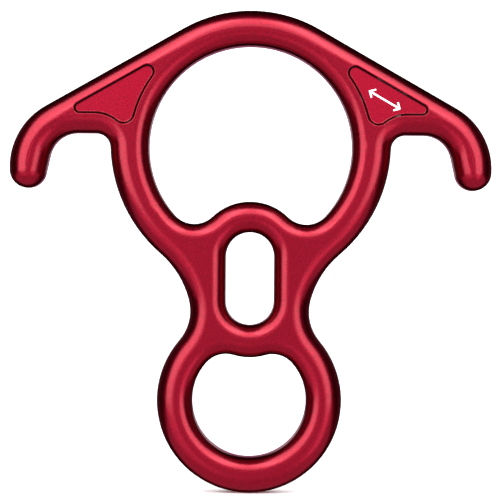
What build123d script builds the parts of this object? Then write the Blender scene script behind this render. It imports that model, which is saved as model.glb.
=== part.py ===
from build123d import *
import os
from math import acos, atan2, cos, radians, sin, sqrt, tan

# Rescue figure 8 descender with two bent ears, forged and machined from one piece of aluminium.
# Frame: origin at the centre of the harness eye, halfway through the body.
# +Z runs up to the rope ring, +X to one ear, and the flat faces look along -Y and +Y.
# Millimetres. The body is the same left and right, and front and back.

# --- whole body
body_thickness = 14.0          # face to face
outer_edge_radius = 5.6        # rounding of the outside edges, front and back
opening_edge_radius = 4.7      # rounding of the rope-bearing edges of the three openings
wall_share = 0.98              # most of a wall that its two rounded edges may take

# --- harness eye, the small opening that the carabiner goes through
eye_hole_radius = 17.9
eye_bar = 11.2                 # width of the bar round the eye
eye_hump = 4.4                 # how far the hump at the top stands into the opening
eye_lobe_radius = 8.2          # rounded corner on each side of the hump

# --- slot that the rope is passed through in place of the eye
slot_width = 15.1
slot_length = 29.2
web_over_eye = 10.2            # metal between the eye and the slot
web_under_ring = 9.7           # metal between the slot and the rope ring

# --- rope ring, the large opening
ring_hole_radius = 32.0
ring_hump = 15.0               # how far the hump at the bottom stands into the opening
ring_lobe_radius = 8.2
ring_top_bar = 11.2            # width of the bar over the ring
ring_side_bar = 12.3           # width of the bar beside the ring
flank_flattening = 1.7         # the outside arc of the ring's sides is this much larger than round
flank_rise = 1.3               # height of that arc's centre above the ring's centre

# --- waist between the eye and the ring
waist_width = 37.6             # narrowest width
waist_lower_radius = 14.2
waist_handover = 15.0          # degrees above level where the lower arc passes into the wider upper one

# --- ears
underside_rise = 4.2           # flat underside of the ear above the ring's centre
armpit_radius = 4.6            # inside corner where the ear leaves the ring
ear_gap = 19.1                 # room for rope between the ring's side and the hanging tip
shoulder_radius = 22.1         # outside bend of the ear
shoulder_drop = 6.4            # bend centre below the ring's centre
hook_bar = 12.6                # width of the ear where it hangs
hook_inner_radius = 8.8        # inside bend of the ear
tip_taper = 1.0                # the ear is this much narrower at its round tip
tip_lean = 12.5                # degrees, inside of the tip leans outward from upright

# --- forged pocket in each ear, on both faces
pocket_depth = 1.0
pocket_ring_margin = 6.0       # from the ring opening to the middle of the pocket wall
pocket_underside_margin = 6.25 # from the underside and the armpit to the same line
pocket_top_margin = 4.7        # from the ear's straight top edge to the same line
pocket_inner_corner = 2.1      # corner nearest the top of the ring
pocket_outer_corner = 1.55     # corner nearest the ear's bend
pocket_lower_corner = 3.3      # corner nearest the armpit
pocket_draft = 40.0            # degrees, slope of the pocket wall from upright
pocket_rim_radius = 0.3
pocket_floor_radius = 0.3
cutter_rise = 0.5              # the pocket cutter starts this far above the face

# --- centres that the outline is struck from, as (x, z)
eye_centre = (0.0, 0.0)
eye_outer_radius = eye_hole_radius + eye_bar
slot_half_width = slot_width / 2
slot_low_z = eye_hole_radius - eye_hump + web_over_eye + slot_half_width
slot_high_z = slot_low_z + slot_length - slot_width
ring_centre_z = slot_high_z + slot_half_width + web_under_ring + ring_hole_radius - ring_hump
ring_centre = (0.0, ring_centre_z)
ring_top_radius = ring_hole_radius + ring_top_bar
ring_half_width = ring_hole_radius + ring_side_bar
flank_radius = ring_half_width + flank_flattening
flank_centre_x = ring_half_width - sqrt(flank_radius**2 - flank_rise**2)
flank_centre = (flank_centre_x, ring_centre_z + flank_rise)
underside_z = ring_centre_z + underside_rise
half_width = ring_half_width + ear_gap + hook_bar
tip_radius = (hook_bar - tip_taper) / 2
shoulder_centre = (half_width - shoulder_radius, ring_centre_z - shoulder_drop)
bend_centre = (half_width - hook_bar - hook_inner_radius, underside_z - hook_inner_radius)

# --- roundings, kept within the walls that they meet on
narrowest_web = min(web_over_eye, web_under_ring)
opening_rounding = min(opening_edge_radius, wall_share * min(narrowest_web, body_thickness) / 2)
waist_bar = (waist_width - slot_width) / 2
narrowest_bar = min(eye_bar, ring_top_bar, ring_side_bar, waist_bar)
outer_rounding = min(
    outer_edge_radius,
    wall_share * narrowest_bar - opening_rounding,
    wall_share * tip_radius,
    wall_share * body_thickness / 2,
)
pocket_wall = pocket_depth / cos(radians(pocket_draft))
pocket_wall_limit = wall_share * pocket_wall / 2 / tan(radians(90 - pocket_draft) / 2)
rim_rounding = min(pocket_rim_radius, pocket_wall_limit)
floor_rounding = min(pocket_floor_radius, pocket_wall_limit)


def meeting_point(centre_a, reach_a, centre_b, reach_b, side):
    """Where two circles meet, on the left (side 1) or right (side -1) of the way from a to b."""
    dx = centre_b[0] - centre_a[0]
    dz = centre_b[1] - centre_a[1]
    gap = sqrt(dx**2 + dz**2)
    along = (gap**2 + reach_a**2 - reach_b**2) / (2 * gap)
    across = side * sqrt(reach_a**2 - along**2)
    x = centre_a[0] + (along * dx - across * dz) / gap
    z = centre_a[1] + (along * dz + across * dx) / gap
    return (x, z)


def line_meets_circle(start, direction, centre, reach):
    """Far point where a straight line enters or leaves a circle."""
    wx = start[0] - centre[0]
    wz = start[1] - centre[1]
    half = wx * direction[0] + wz * direction[1]
    run = sqrt(half**2 - wx**2 - wz**2 + reach**2) - half
    return (start[0] + direction[0] * run, start[1] + direction[1] * run)


def toward(centre, target, reach):
    """Point at a distance from the centre, on the way to the target or beyond it."""
    dx = target[0] - centre[0]
    dz = target[1] - centre[1]
    gap = sqrt(dx**2 + dz**2)
    return (centre[0] + dx * reach / gap, centre[1] + dz * reach / gap)


def touching_radius(start, direction, centre, radius):
    """Radius of the arc through start, with its centre along direction, that touches a circle."""
    dx = start[0] - centre[0]
    dz = start[1] - centre[1]
    return (dx**2 + dz**2 - radius**2) / (2 * (radius - dx * direction[0] - dz * direction[1]))


def shifted(point, direction, reach):
    return (point[0] + direction[0] * reach, point[1] + direction[1] * reach)


def arc(centre, start, end, turn):
    """Arc about a centre, turning left (turn 1) or right (turn -1) from start to end."""
    radius = sqrt((start[0] - centre[0]) ** 2 + (start[1] - centre[1]) ** 2)
    first = atan2(start[1] - centre[1], start[0] - centre[0])
    last = atan2(end[1] - centre[1], end[0] - centre[0])
    sweep = (turn * (last - first)) % radians(360)
    middle = first + turn * sweep / 2
    through = (centre[0] + radius * cos(middle), centre[1] + radius * sin(middle))
    return ThreePointArc(start, through, end)


def ear_top_direction():
    """Unit vector square to the ear's straight top edge, which is tangent to shoulder and ring."""
    dx = shoulder_centre[0] - ring_centre[0]
    dz = shoulder_centre[1] - ring_centre[1]
    tilt = atan2(dz, dx) + acos((ring_top_radius - shoulder_radius) / sqrt(dx**2 + dz**2))
    return (cos(tilt), sin(tilt))


def waist_edges():
    """Outside of the eye and the waist, from the bottom of the eye up to the ring's flank."""
    waist_lower_x = waist_width / 2 + waist_lower_radius
    reach = eye_outer_radius + waist_lower_radius
    lower = (waist_lower_x, sqrt(reach**2 - waist_lower_x**2))
    out = (cos(radians(waist_handover)), -sin(radians(waist_handover)))
    handover = shifted(lower, out, -waist_lower_radius)
    upper = shifted(handover, out, touching_radius(handover, out, flank_centre, flank_radius))
    bottom = (0.0, -eye_outer_radius)
    leave_eye = toward(eye_centre, lower, eye_outer_radius)
    join_ring = toward(flank_centre, upper, flank_radius)
    return join_ring, [
        arc(eye_centre, bottom, leave_eye, 1),
        arc(lower, leave_eye, handover, -1),
        arc(upper, handover, join_ring, -1),
    ]


def armpit_centre():
    z = underside_z - armpit_radius
    reach = flank_radius + armpit_radius
    return (flank_centre[0] + sqrt(reach**2 - (z - flank_centre[1]) ** 2), z)


def ear_edges(start):
    """Flank of the ring, underside of the ear, its bent tip, and back over the top of the ring."""
    armpit = armpit_centre()
    leave_ring = toward(flank_centre, armpit, flank_radius)
    flat_start = (armpit[0], underside_z)
    flat_end = (bend_centre[0], underside_z)
    out = (cos(radians(tip_lean)), sin(radians(tip_lean)))
    down = (out[1], -out[0])
    bend_end = shifted(bend_centre, out, hook_inner_radius)
    tip = line_meets_circle(
        shifted(bend_end, out, tip_radius), down, shoulder_centre, shoulder_radius - tip_radius
    )
    tip_start = shifted(tip, out, -tip_radius)
    tip_end = toward(shoulder_centre, tip, shoulder_radius)
    up = ear_top_direction()
    slope_start = shifted(shoulder_centre, up, shoulder_radius)
    slope_end = shifted(ring_centre, up, ring_top_radius)
    top = (0.0, ring_centre_z + ring_top_radius)
    return [
        arc(flank_centre, start, leave_ring, 1),
        arc(armpit, leave_ring, flat_start, -1),
        Line(flat_start, flat_end),
        arc(bend_centre, flat_end, bend_end, -1),
        Line(bend_end, tip_start),
        arc(tip, tip_start, tip_end, 1),
        arc(shoulder_centre, tip_end, slope_start, 1),
        Line(slope_start, slope_end),
        arc(ring_centre, slope_end, top, 1),
    ]


def both_sides(edges):
    """Closed face from the edges of its right half."""
    half = Curve() + edges
    return make_face(half + mirror(half, about=Plane.YZ))


def outline():
    join_ring, lower = waist_edges()
    return both_sides(lower + ear_edges(join_ring))


def humped_opening(centre, hole_radius, hump_centre, hump_radius, lobe_radius, hump_side):
    """Round opening with a hump struck from the near end of the slot, above it (1) or below it (-1)."""
    lobe = meeting_point(centre, hole_radius - lobe_radius, hump_centre, hump_radius + lobe_radius, -hump_side)
    far = (0.0, centre[1] - hump_side * hole_radius)
    leave_hole = toward(centre, lobe, hole_radius)
    meet_hump = toward(hump_centre, lobe, hump_radius)
    hump_peak = (0.0, hump_centre[1] - hump_side * hump_radius)
    return both_sides(
        [
            arc(centre, far, leave_hole, hump_side),
            arc(lobe, leave_hole, meet_hump, hump_side),
            arc(hump_centre, meet_hump, hump_peak, -hump_side),
        ]
    )


def openings():
    eye_hump = slot_half_width + web_over_eye
    ring_hump = slot_half_width + web_under_ring
    eye = humped_opening(eye_centre, eye_hole_radius, (0.0, slot_low_z), eye_hump, eye_lobe_radius, 1)
    ring = humped_opening(ring_centre, ring_hole_radius, (0.0, slot_high_z), ring_hump, ring_lobe_radius, -1)
    slot_middle = (slot_low_z + slot_high_z) / 2
    slot = Pos(0, slot_middle) * SlotOverall(slot_length, slot_width, rotation=90)
    return eye + ring + slot


def rounded_body():
    """Plate with all its face edges rounded, like a forged bar."""
    plate = extrude(Plane.XZ * (outline() - openings()), amount=body_thickness / 2, both=True).solid()
    faces = plate.faces().filter_by(Axis.Y)
    outside = [edge for face in faces for edge in face.outer_wire().edges()]
    plate = plate.fillet(outer_rounding, outside)
    faces = plate.faces().filter_by(Axis.Y).filter_by(GeomType.PLANE).sort_by(SortBy.AREA)[-2:]
    inside = [edge for face in faces for wire in face.inner_wires() for edge in wire.edges()]
    return plate.fillet(opening_rounding, inside)


def pocket_outline(spread):
    """Rounded triangle in the right ear, grown by spread beyond the middle of the pocket wall."""
    armpit = armpit_centre()
    up = ear_top_direction()
    side_radius = ring_hole_radius + pocket_ring_margin - spread
    lower_z = underside_z + pocket_underside_margin - spread
    armpit_reach = armpit_radius + pocket_underside_margin - spread
    top_reach = ring_top_radius - pocket_top_margin + spread
    inner_corner = pocket_inner_corner + spread
    outer_corner = pocket_outer_corner + spread
    lower_corner = pocket_lower_corner + spread

    outer_z = lower_z + outer_corner
    outer_x = (top_reach - outer_corner - (outer_z - ring_centre_z) * up[1]) / up[0]
    outer = (outer_x, outer_z)
    inner_foot = shifted(ring_centre, up, top_reach - inner_corner)
    inner = line_meets_circle(inner_foot, (up[1], -up[0]), ring_centre, side_radius + inner_corner)
    lower = meeting_point(ring_centre, side_radius + lower_corner, armpit, armpit_reach + lower_corner, 1)

    inner_top = shifted(inner, up, inner_corner)
    outer_top = shifted(outer, up, outer_corner)
    outer_low = (outer[0], lower_z)
    flat_end = (armpit[0], lower_z)
    lower_right = toward(armpit, lower, armpit_reach)
    lower_left = toward(ring_centre, lower, side_radius)
    inner_left = toward(ring_centre, inner, side_radius)
    return make_face(
        Curve()
        + [
            Line(inner_top, outer_top),
            arc(outer, outer_top, outer_low, -1),
            Line(outer_low, flat_end),
            arc(armpit, flat_end, lower_right, 1),
            arc(lower, lower_right, lower_left, -1),
            arc(ring_centre, lower_left, inner_left, 1),
            arc(inner, inner_left, inner_top, -1),
        ]
    )


def pocket_cutter():
    """Sloping-walled plug, rounded round its end, that leaves the front pocket of the right ear."""
    slope = tan(radians(pocket_draft))
    mouth = pocket_outline((pocket_depth / 2 + cutter_rise) * slope)
    plane = Plane.XZ.offset(body_thickness / 2 + cutter_rise)
    plug = extrude(plane * mouth, amount=-pocket_depth - cutter_rise, taper=pocket_draft).solid()
    floor = plug.faces().sort_by(Axis.Y)[-1]
    return plug.fillet(floor_rounding, floor.outer_wire().edges())


def descender_body():
    plain = rounded_body()
    right = pocket_cutter()
    front = [right, mirror(right, about=Plane.YZ)]
    cutters = front + [mirror(cutter, about=Plane.XZ) for cutter in front]
    pocketed = plain
    for cutter in cutters:
        pocketed = pocketed - cutter
    rims = new_edges(plain, *cutters, combined=pocketed)
    return pocketed.solid().fillet(rim_rounding, rims)


os.makedirs("parts", exist_ok=True)
export_step(descender_body(), "parts/descender_body.step")
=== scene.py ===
from math import cos, pi, radians, sin, sqrt, tan

import bmesh
import bpy
from mathutils import Matrix, Vector


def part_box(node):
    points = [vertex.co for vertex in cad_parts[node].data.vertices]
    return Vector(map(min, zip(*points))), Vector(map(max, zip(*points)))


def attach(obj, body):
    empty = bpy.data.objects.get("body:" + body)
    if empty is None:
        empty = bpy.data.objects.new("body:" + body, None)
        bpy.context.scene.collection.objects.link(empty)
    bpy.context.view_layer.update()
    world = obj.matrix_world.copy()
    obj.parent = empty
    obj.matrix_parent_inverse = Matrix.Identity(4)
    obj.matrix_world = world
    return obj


# Rescue figure 8 descender: one forged aluminium body, bead-blasted and anodised red,
# with a laser-marked load arrow in the right ear's pocket.
# Metres, in the frame of the model: +Z from the harness eye to the rope ring, front face toward -Y.

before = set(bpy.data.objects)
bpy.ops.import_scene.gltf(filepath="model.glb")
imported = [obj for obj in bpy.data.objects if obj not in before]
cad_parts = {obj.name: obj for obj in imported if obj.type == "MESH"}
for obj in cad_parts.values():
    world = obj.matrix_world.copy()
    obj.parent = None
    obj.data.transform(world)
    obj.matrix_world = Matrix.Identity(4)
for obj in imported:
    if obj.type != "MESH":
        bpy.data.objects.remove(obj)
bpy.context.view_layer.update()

MM = 0.001
BODY = "descender_body"
FACE_Y = 7.0 * MM  # both faces of the body stand this far from its middle
POCKET_DEPTH = 1.0 * MM
NEARLY_LEVEL = 0.97  # a surface normal's share along Y, above which it counts as level with the face
STEEP = 0.76  # and below which it counts as steep
WHITE = "ffffff"
ROSE = "ffa0cc"


# ---------------------------------------------------------------- materials
def linear(code, alpha=1.0):
    """An sRGB colour such as "c8102e" as linear red, green, blue and alpha."""
    parts = [int(code[i : i + 2], 16) / 255 for i in (0, 2, 4)]
    return [p / 12.92 if p <= 0.04045 else ((p + 0.055) / 1.055) ** 2.4 for p in parts] + [alpha]


def new_material(name):
    """An empty material: its node tree, with an output node in it."""
    material = bpy.data.materials.new(name)
    material.use_nodes = True
    tree = material.node_tree
    tree.nodes.clear()
    return material, tree


def add_node(tree, kind, settings=None, values=(), **inputs):
    """Adds a node. Settings are its own properties. Values fill its inputs in order, and inputs by name:
    each is a constant, or the socket that feeds it."""
    node = tree.nodes.new(kind)
    for key, value in (settings or {}).items():
        setattr(node, key, value)
    filled = list(zip(node.inputs, values))
    filled += [(node.inputs[key.replace("_", " ")], value) for key, value in inputs.items()]
    for socket, value in filled:
        if isinstance(value, bpy.types.NodeSocket):
            tree.links.new(value, socket)
        else:
            socket.default_value = value
    return node


def per_mm(size_in_mm):
    """Texture scale at which one feature of the pattern is that many millimetres across."""
    return 1 / (size_in_mm * MM)


def red_anodised_aluminium():
    """7075 aluminium, bead-blasted, then dyed red and sealed in a clear oxide film.

    The blasted metal gives a broad soft sheen, and the film a paler glint over the brightest of it.
    Light that crosses the dyed film at a slant comes back a darker red. The steep pocket walls carry painted
    shade: a dark red laid on them in place of the shade that falls there.
    """
    material, tree = new_material("red_anodised_aluminium")
    coordinates = add_node(tree, "ShaderNodeTexCoord")
    place = coordinates.outputs["Object"]
    # Shot dents are about 0.15 mm across. They are drawn at 0.5 mm, the finest that shows.
    grain = add_node(
        tree, "ShaderNodeTexNoise", Vector=place, Scale=per_mm(0.5), Detail=2.0, Roughness=0.6
    ).outputs["Fac"]
    # The dents are drawn darker than the crests between them, which makes the grain show.
    pooling = add_node(tree, "ShaderNodeMapRange", Value=grain)
    pooling.inputs["From Min"].default_value = 0.3
    pooling.inputs["From Max"].default_value = 0.7
    pooling.inputs["To Min"].default_value = 0.7
    pooling.inputs["To Max"].default_value = 1.2
    # The dye takes a little unevenly over a few centimetres.
    cloud = add_node(
        tree, "ShaderNodeTexNoise", Vector=place, Scale=per_mm(30.0), Detail=2.0, Roughness=0.5
    ).outputs["Fac"]
    colour = add_node(tree, "ShaderNodeMix", {"data_type": "RGBA"}, Factor=cloud)
    colour.inputs["A"].default_value = linear("bc0a30")
    colour.inputs["B"].default_value = linear("c80e36")
    dyed = add_node(tree, "ShaderNodeVectorMath", {"operation": "SCALE"}, Scale=pooling.outputs["Result"])
    tree.links.new(colour.outputs["Result"], dyed.inputs["Vector"])
    floors, walls = pocket_floors_and_walls(tree, coordinates)
    # Painted shade: the pocket walls are painted a dark red, standing in for the shade that falls on such
    # steep, narrow walls.
    shade = add_node(tree, "ShaderNodeMix", {"data_type": "RGBA"}, Factor=walls)
    tree.links.new(dyed.outputs["Vector"], shade.inputs["A"])
    shade.inputs["B"].default_value = linear("400210")
    sheen = add_node(tree, "ShaderNodeMapRange", Value=grain)
    sheen.inputs["To Min"].default_value = 0.25
    sheen.inputs["To Max"].default_value = 0.37
    roughness = add_node(tree, "ShaderNodeMix", Factor=floors, A=sheen.outputs["Result"])
    roughness.inputs["B"].default_value = 0.5
    dents = add_node(tree, "ShaderNodeBump", Height=grain, Strength=0.9, Distance=0.03 * MM)
    metal = add_node(
        tree,
        "ShaderNodeBsdfPrincipled",
        Base_Color=shade.outputs["Result"],
        Metallic=1.0,
        Roughness=roughness.outputs["Result"],
        Normal=dents.outputs["Normal"],
        Specular_Tint=linear("902030"),
        Coat_Weight=1.0,
        Coat_Roughness=0.20,
    )
    add_node(tree, "ShaderNodeOutputMaterial", Surface=metal.outputs["BSDF"])
    return material


def pocket_floors_and_walls(tree, coordinates):
    """Two masks, 1 on the floors and 1 on the sloping walls of the forged pockets, else 0.

    Nothing else on the body is both so near the face and so steep as the walls are. The wall mask lays
    painted shade, a dark red, on the pocket walls.
    """
    place = add_node(tree, "ShaderNodeSeparateXYZ", Vector=coordinates.outputs["Object"])
    facing = add_node(tree, "ShaderNodeSeparateXYZ", Vector=coordinates.outputs["Normal"])
    height = add_node(tree, "ShaderNodeMath", {"operation": "ABSOLUTE"}, [place.outputs["Y"]])
    level = add_node(tree, "ShaderNodeMath", {"operation": "ABSOLUTE"}, [facing.outputs["Y"]])
    half_sunk = FACE_Y - POCKET_DEPTH / 2
    sunk = add_node(
        tree, "ShaderNodeMath", {"operation": "LESS_THAN"}, [height.outputs["Value"], half_sunk]
    )
    flat = add_node(
        tree, "ShaderNodeMath", {"operation": "GREATER_THAN"}, [level.outputs["Value"], NEARLY_LEVEL]
    )
    floors = add_node(
        tree, "ShaderNodeMath", {"operation": "MULTIPLY"}, [sunk.outputs["Value"], flat.outputs["Value"]]
    )
    bottom = FACE_Y - POCKET_DEPTH
    shallow = add_node(
        tree, "ShaderNodeMath", {"operation": "GREATER_THAN"}, [height.outputs["Value"], bottom]
    )
    steep = add_node(tree, "ShaderNodeMath", {"operation": "LESS_THAN"}, [level.outputs["Value"], STEEP])
    walls = add_node(
        tree, "ShaderNodeMath", {"operation": "MULTIPLY"}, [shallow.outputs["Value"], steep.outputs["Value"]]
    )
    return floors.outputs["Value"], walls.outputs["Value"]


def white_laser_mark():
    """Laser-bleached anodising: the beam breaks the dyed film into a matt white oxide."""
    material, tree = new_material("white_laser_mark")
    place = add_node(tree, "ShaderNodeTexCoord").outputs["Object"]
    # The beam fills the mark with passes about 0.1 mm apart, which show as a slight mottle.
    passes = add_node(tree, "ShaderNodeTexNoise", Vector=place, Scale=per_mm(0.4), Detail=2.0).outputs["Fac"]
    colour = add_node(tree, "ShaderNodeMix", {"data_type": "RGBA"}, Factor=passes)
    colour.inputs["A"].default_value = linear("f4eeee")
    colour.inputs["B"].default_value = linear("ffffff")
    oxide = add_node(
        tree, "ShaderNodeBsdfPrincipled", Base_Color=colour.outputs["Result"], Roughness=0.85
    )
    add_node(tree, "ShaderNodeOutputMaterial", Surface=oxide.outputs["BSDF"])
    return material


def floor_paper():
    """White background paper: matt, with a faint tooth."""
    material, tree = new_material("floor_paper")
    place = add_node(tree, "ShaderNodeTexCoord").outputs["Object"]
    tooth = add_node(tree, "ShaderNodeTexNoise", Vector=place, Scale=per_mm(1.0), Detail=4.0).outputs["Fac"]
    relief = add_node(tree, "ShaderNodeBump", Height=tooth, Strength=0.1, Distance=0.05 * MM)
    paper = add_node(
        tree,
        "ShaderNodeBsdfPrincipled",
        Base_Color=linear("f7f7f7"),
        Roughness=0.9,
        Normal=relief.outputs["Normal"],
    )
    add_node(tree, "ShaderNodeOutputMaterial", Surface=paper.outputs["BSDF"])
    return material


# ---------------------------------------------------------------- the load mark
def new_piece(name, mesh, material):
    piece = bpy.data.objects.new(name, mesh)
    bpy.context.scene.collection.objects.link(piece)
    piece.data.materials.append(material)
    return piece


def double_arrow(length, width, stroke):
    """Corners of a line arrow with an open head at each end, along X about the origin, going round once.

    The barbs lean back at 45 degrees from each tip.
    """
    tip = length / 2
    barb = width / 2
    slant = stroke * sqrt(2)
    lower = [
        (tip - slant - stroke / 2, -stroke / 2),
        (tip - barb - slant / 2, slant / 2 - barb),
        (tip - barb, -barb),
    ]
    upper = [(x, -z) for x, z in reversed(lower)]
    right = lower + [(tip, 0)] + upper
    left = [(-x, -z) for x, z in right]
    return right + left


def load_mark():
    """The arrow that shows which way the device is loaded, flat on the floor of the right ear's pocket."""
    thickness = 0.03 * MM
    floor = POCKET_DEPTH - FACE_Y
    middle = Vector((41.8 * MM, 0, 94.6 * MM))
    slope = radians(-30)
    corners = double_arrow(length=11.5 * MM, width=3.2 * MM, stroke=0.5 * MM)
    mesh = bpy.data.meshes.new("load_mark")
    work = bmesh.new()
    front = [work.verts.new((x, floor - thickness, z)) for x, z in corners]
    face = work.faces.new(front)
    depth = bmesh.ops.extrude_face_region(work, geom=[face])
    moved = [v for v in depth["geom"] if isinstance(v, bmesh.types.BMVert)]
    bmesh.ops.translate(work, verts=moved, vec=(0, thickness, 0))
    bmesh.ops.recalc_face_normals(work, faces=work.faces)
    turn = Matrix.Rotation(-slope, 4, "Y")
    bmesh.ops.transform(work, matrix=Matrix.Translation(middle) @ turn, verts=work.verts)
    work.to_mesh(mesh)
    work.free()
    return new_piece("load_mark", mesh, white_laser_mark())


# ---------------------------------------------------------------- studio
def softbox(name, right, up, across, tall, glow, colour, aim):
    """White panel that faces the object, with its bearing and its spread in degrees as the object sees them.

    Right and up are counted from straight in front. The glow is the panel's brightness, where 1 is
    the white of paper on the floor.
    """
    distance = 0.9
    data = bpy.data.lights.new(name, "AREA")
    data.shape = "RECTANGLE"
    data.size = 2 * distance * tan(radians(across / 2))
    data.size_y = 2 * distance * tan(radians(tall / 2))
    data.color = linear(colour)[:3]
    data.energy = glow * pi * data.size * data.size_y
    lamp = bpy.data.objects.new(name, data)
    bpy.context.scene.collection.objects.link(lamp)
    level = cos(radians(up))
    out = Vector((sin(radians(right)) * level, -cos(radians(right)) * level, sin(radians(up))))
    lamp.location = aim + out * distance
    lamp.visible_camera = False
    lamp.rotation_euler = out.to_track_quat("Z", "Y").to_euler()
    return lamp


def pale_world():
    """White surroundings that light the floor and are seen behind the object, but not in the metal."""
    world = bpy.data.worlds.new("studio")
    bpy.context.scene.world = world
    world.use_nodes = True
    world.node_tree.nodes["Background"].inputs["Color"].default_value = linear("ffffff")
    world.node_tree.nodes["Background"].inputs["Strength"].default_value = 1.9
    world.cycles_visibility.glossy = False


def floor_disc(level):
    radius = 0.6
    mesh = bpy.data.meshes.new("floor")
    work = bmesh.new()
    bmesh.ops.create_circle(work, cap_ends=True, segments=96, radius=radius)
    bmesh.ops.translate(work, verts=work.verts, vec=(0, 0, level))
    work.to_mesh(mesh)
    work.free()
    floor = new_piece("floor", mesh, floor_paper())
    floor.visible_glossy = False
    floor.visible_shadow = False
    return floor


def camera(aim):
    """Long lens square to the front face, with the object leaning a hair to the right in the frame."""
    distance = 0.62
    frame_width = 158.0 * MM
    lean = radians(0.42)
    data = bpy.data.cameras.new("camera")
    data.sensor_width = 36.0
    data.lens = data.sensor_width * distance / frame_width
    view = bpy.data.objects.new("camera", data)
    bpy.context.scene.collection.objects.link(view)
    back = Vector((0, -1, 0))
    up = Vector((-sin(lean), 0, cos(lean)))
    side = up.cross(back)
    turn = Matrix((side, up, back)).transposed().to_4x4()
    view.matrix_world = Matrix.Translation(aim + back * distance) @ turn
    bpy.context.scene.camera = view
    return view


# ---------------------------------------------------------------- build
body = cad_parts[BODY]
body.data.materials.clear()
body.data.materials.append(red_anodised_aluminium())

mark = load_mark()
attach(mark, "root")

low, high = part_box(BODY)
middle = (low + high) / 2
floor_disc(low.z)
pale_world()
softbox("left_softbox", -36, 27, 42, 72, 1.75, WHITE, middle)
softbox("right_softbox", 34, 26, 36, 70, 1.65, WHITE, middle)
softbox("high_softbox", 2, 39, 46, 38, 1.35, WHITE, middle)
softbox("front_card", 0, -2, 44, 34, 0.44, ROSE, middle)
softbox("low_left_card", -28, -20, 40, 24, 0.35, ROSE, middle)
softbox("low_right_card", 32, -20, 20, 24, 0.8, ROSE, middle)
softbox("low_card", 0, -64, 130, 96, 0.48, ROSE, middle)
softbox("left_side_card", -126, 4, 44, 60, 0.08, ROSE, middle)
softbox("right_side_card", 126, 4, 44, 60, 0.08, ROSE, middle)
softbox("back_left_softbox", -160, 10, 20, 26, 0.8, WHITE, middle)
softbox("back_right_softbox", 160, 10, 20, 26, 0.8, WHITE, middle)
softbox("back_card", 180, -2, 34, 34, 0.5, ROSE, middle)
camera(Vector((-0.01 * MM, 0, 47.34 * MM)))

bpy.context.scene.view_settings.view_transform = "Standard"
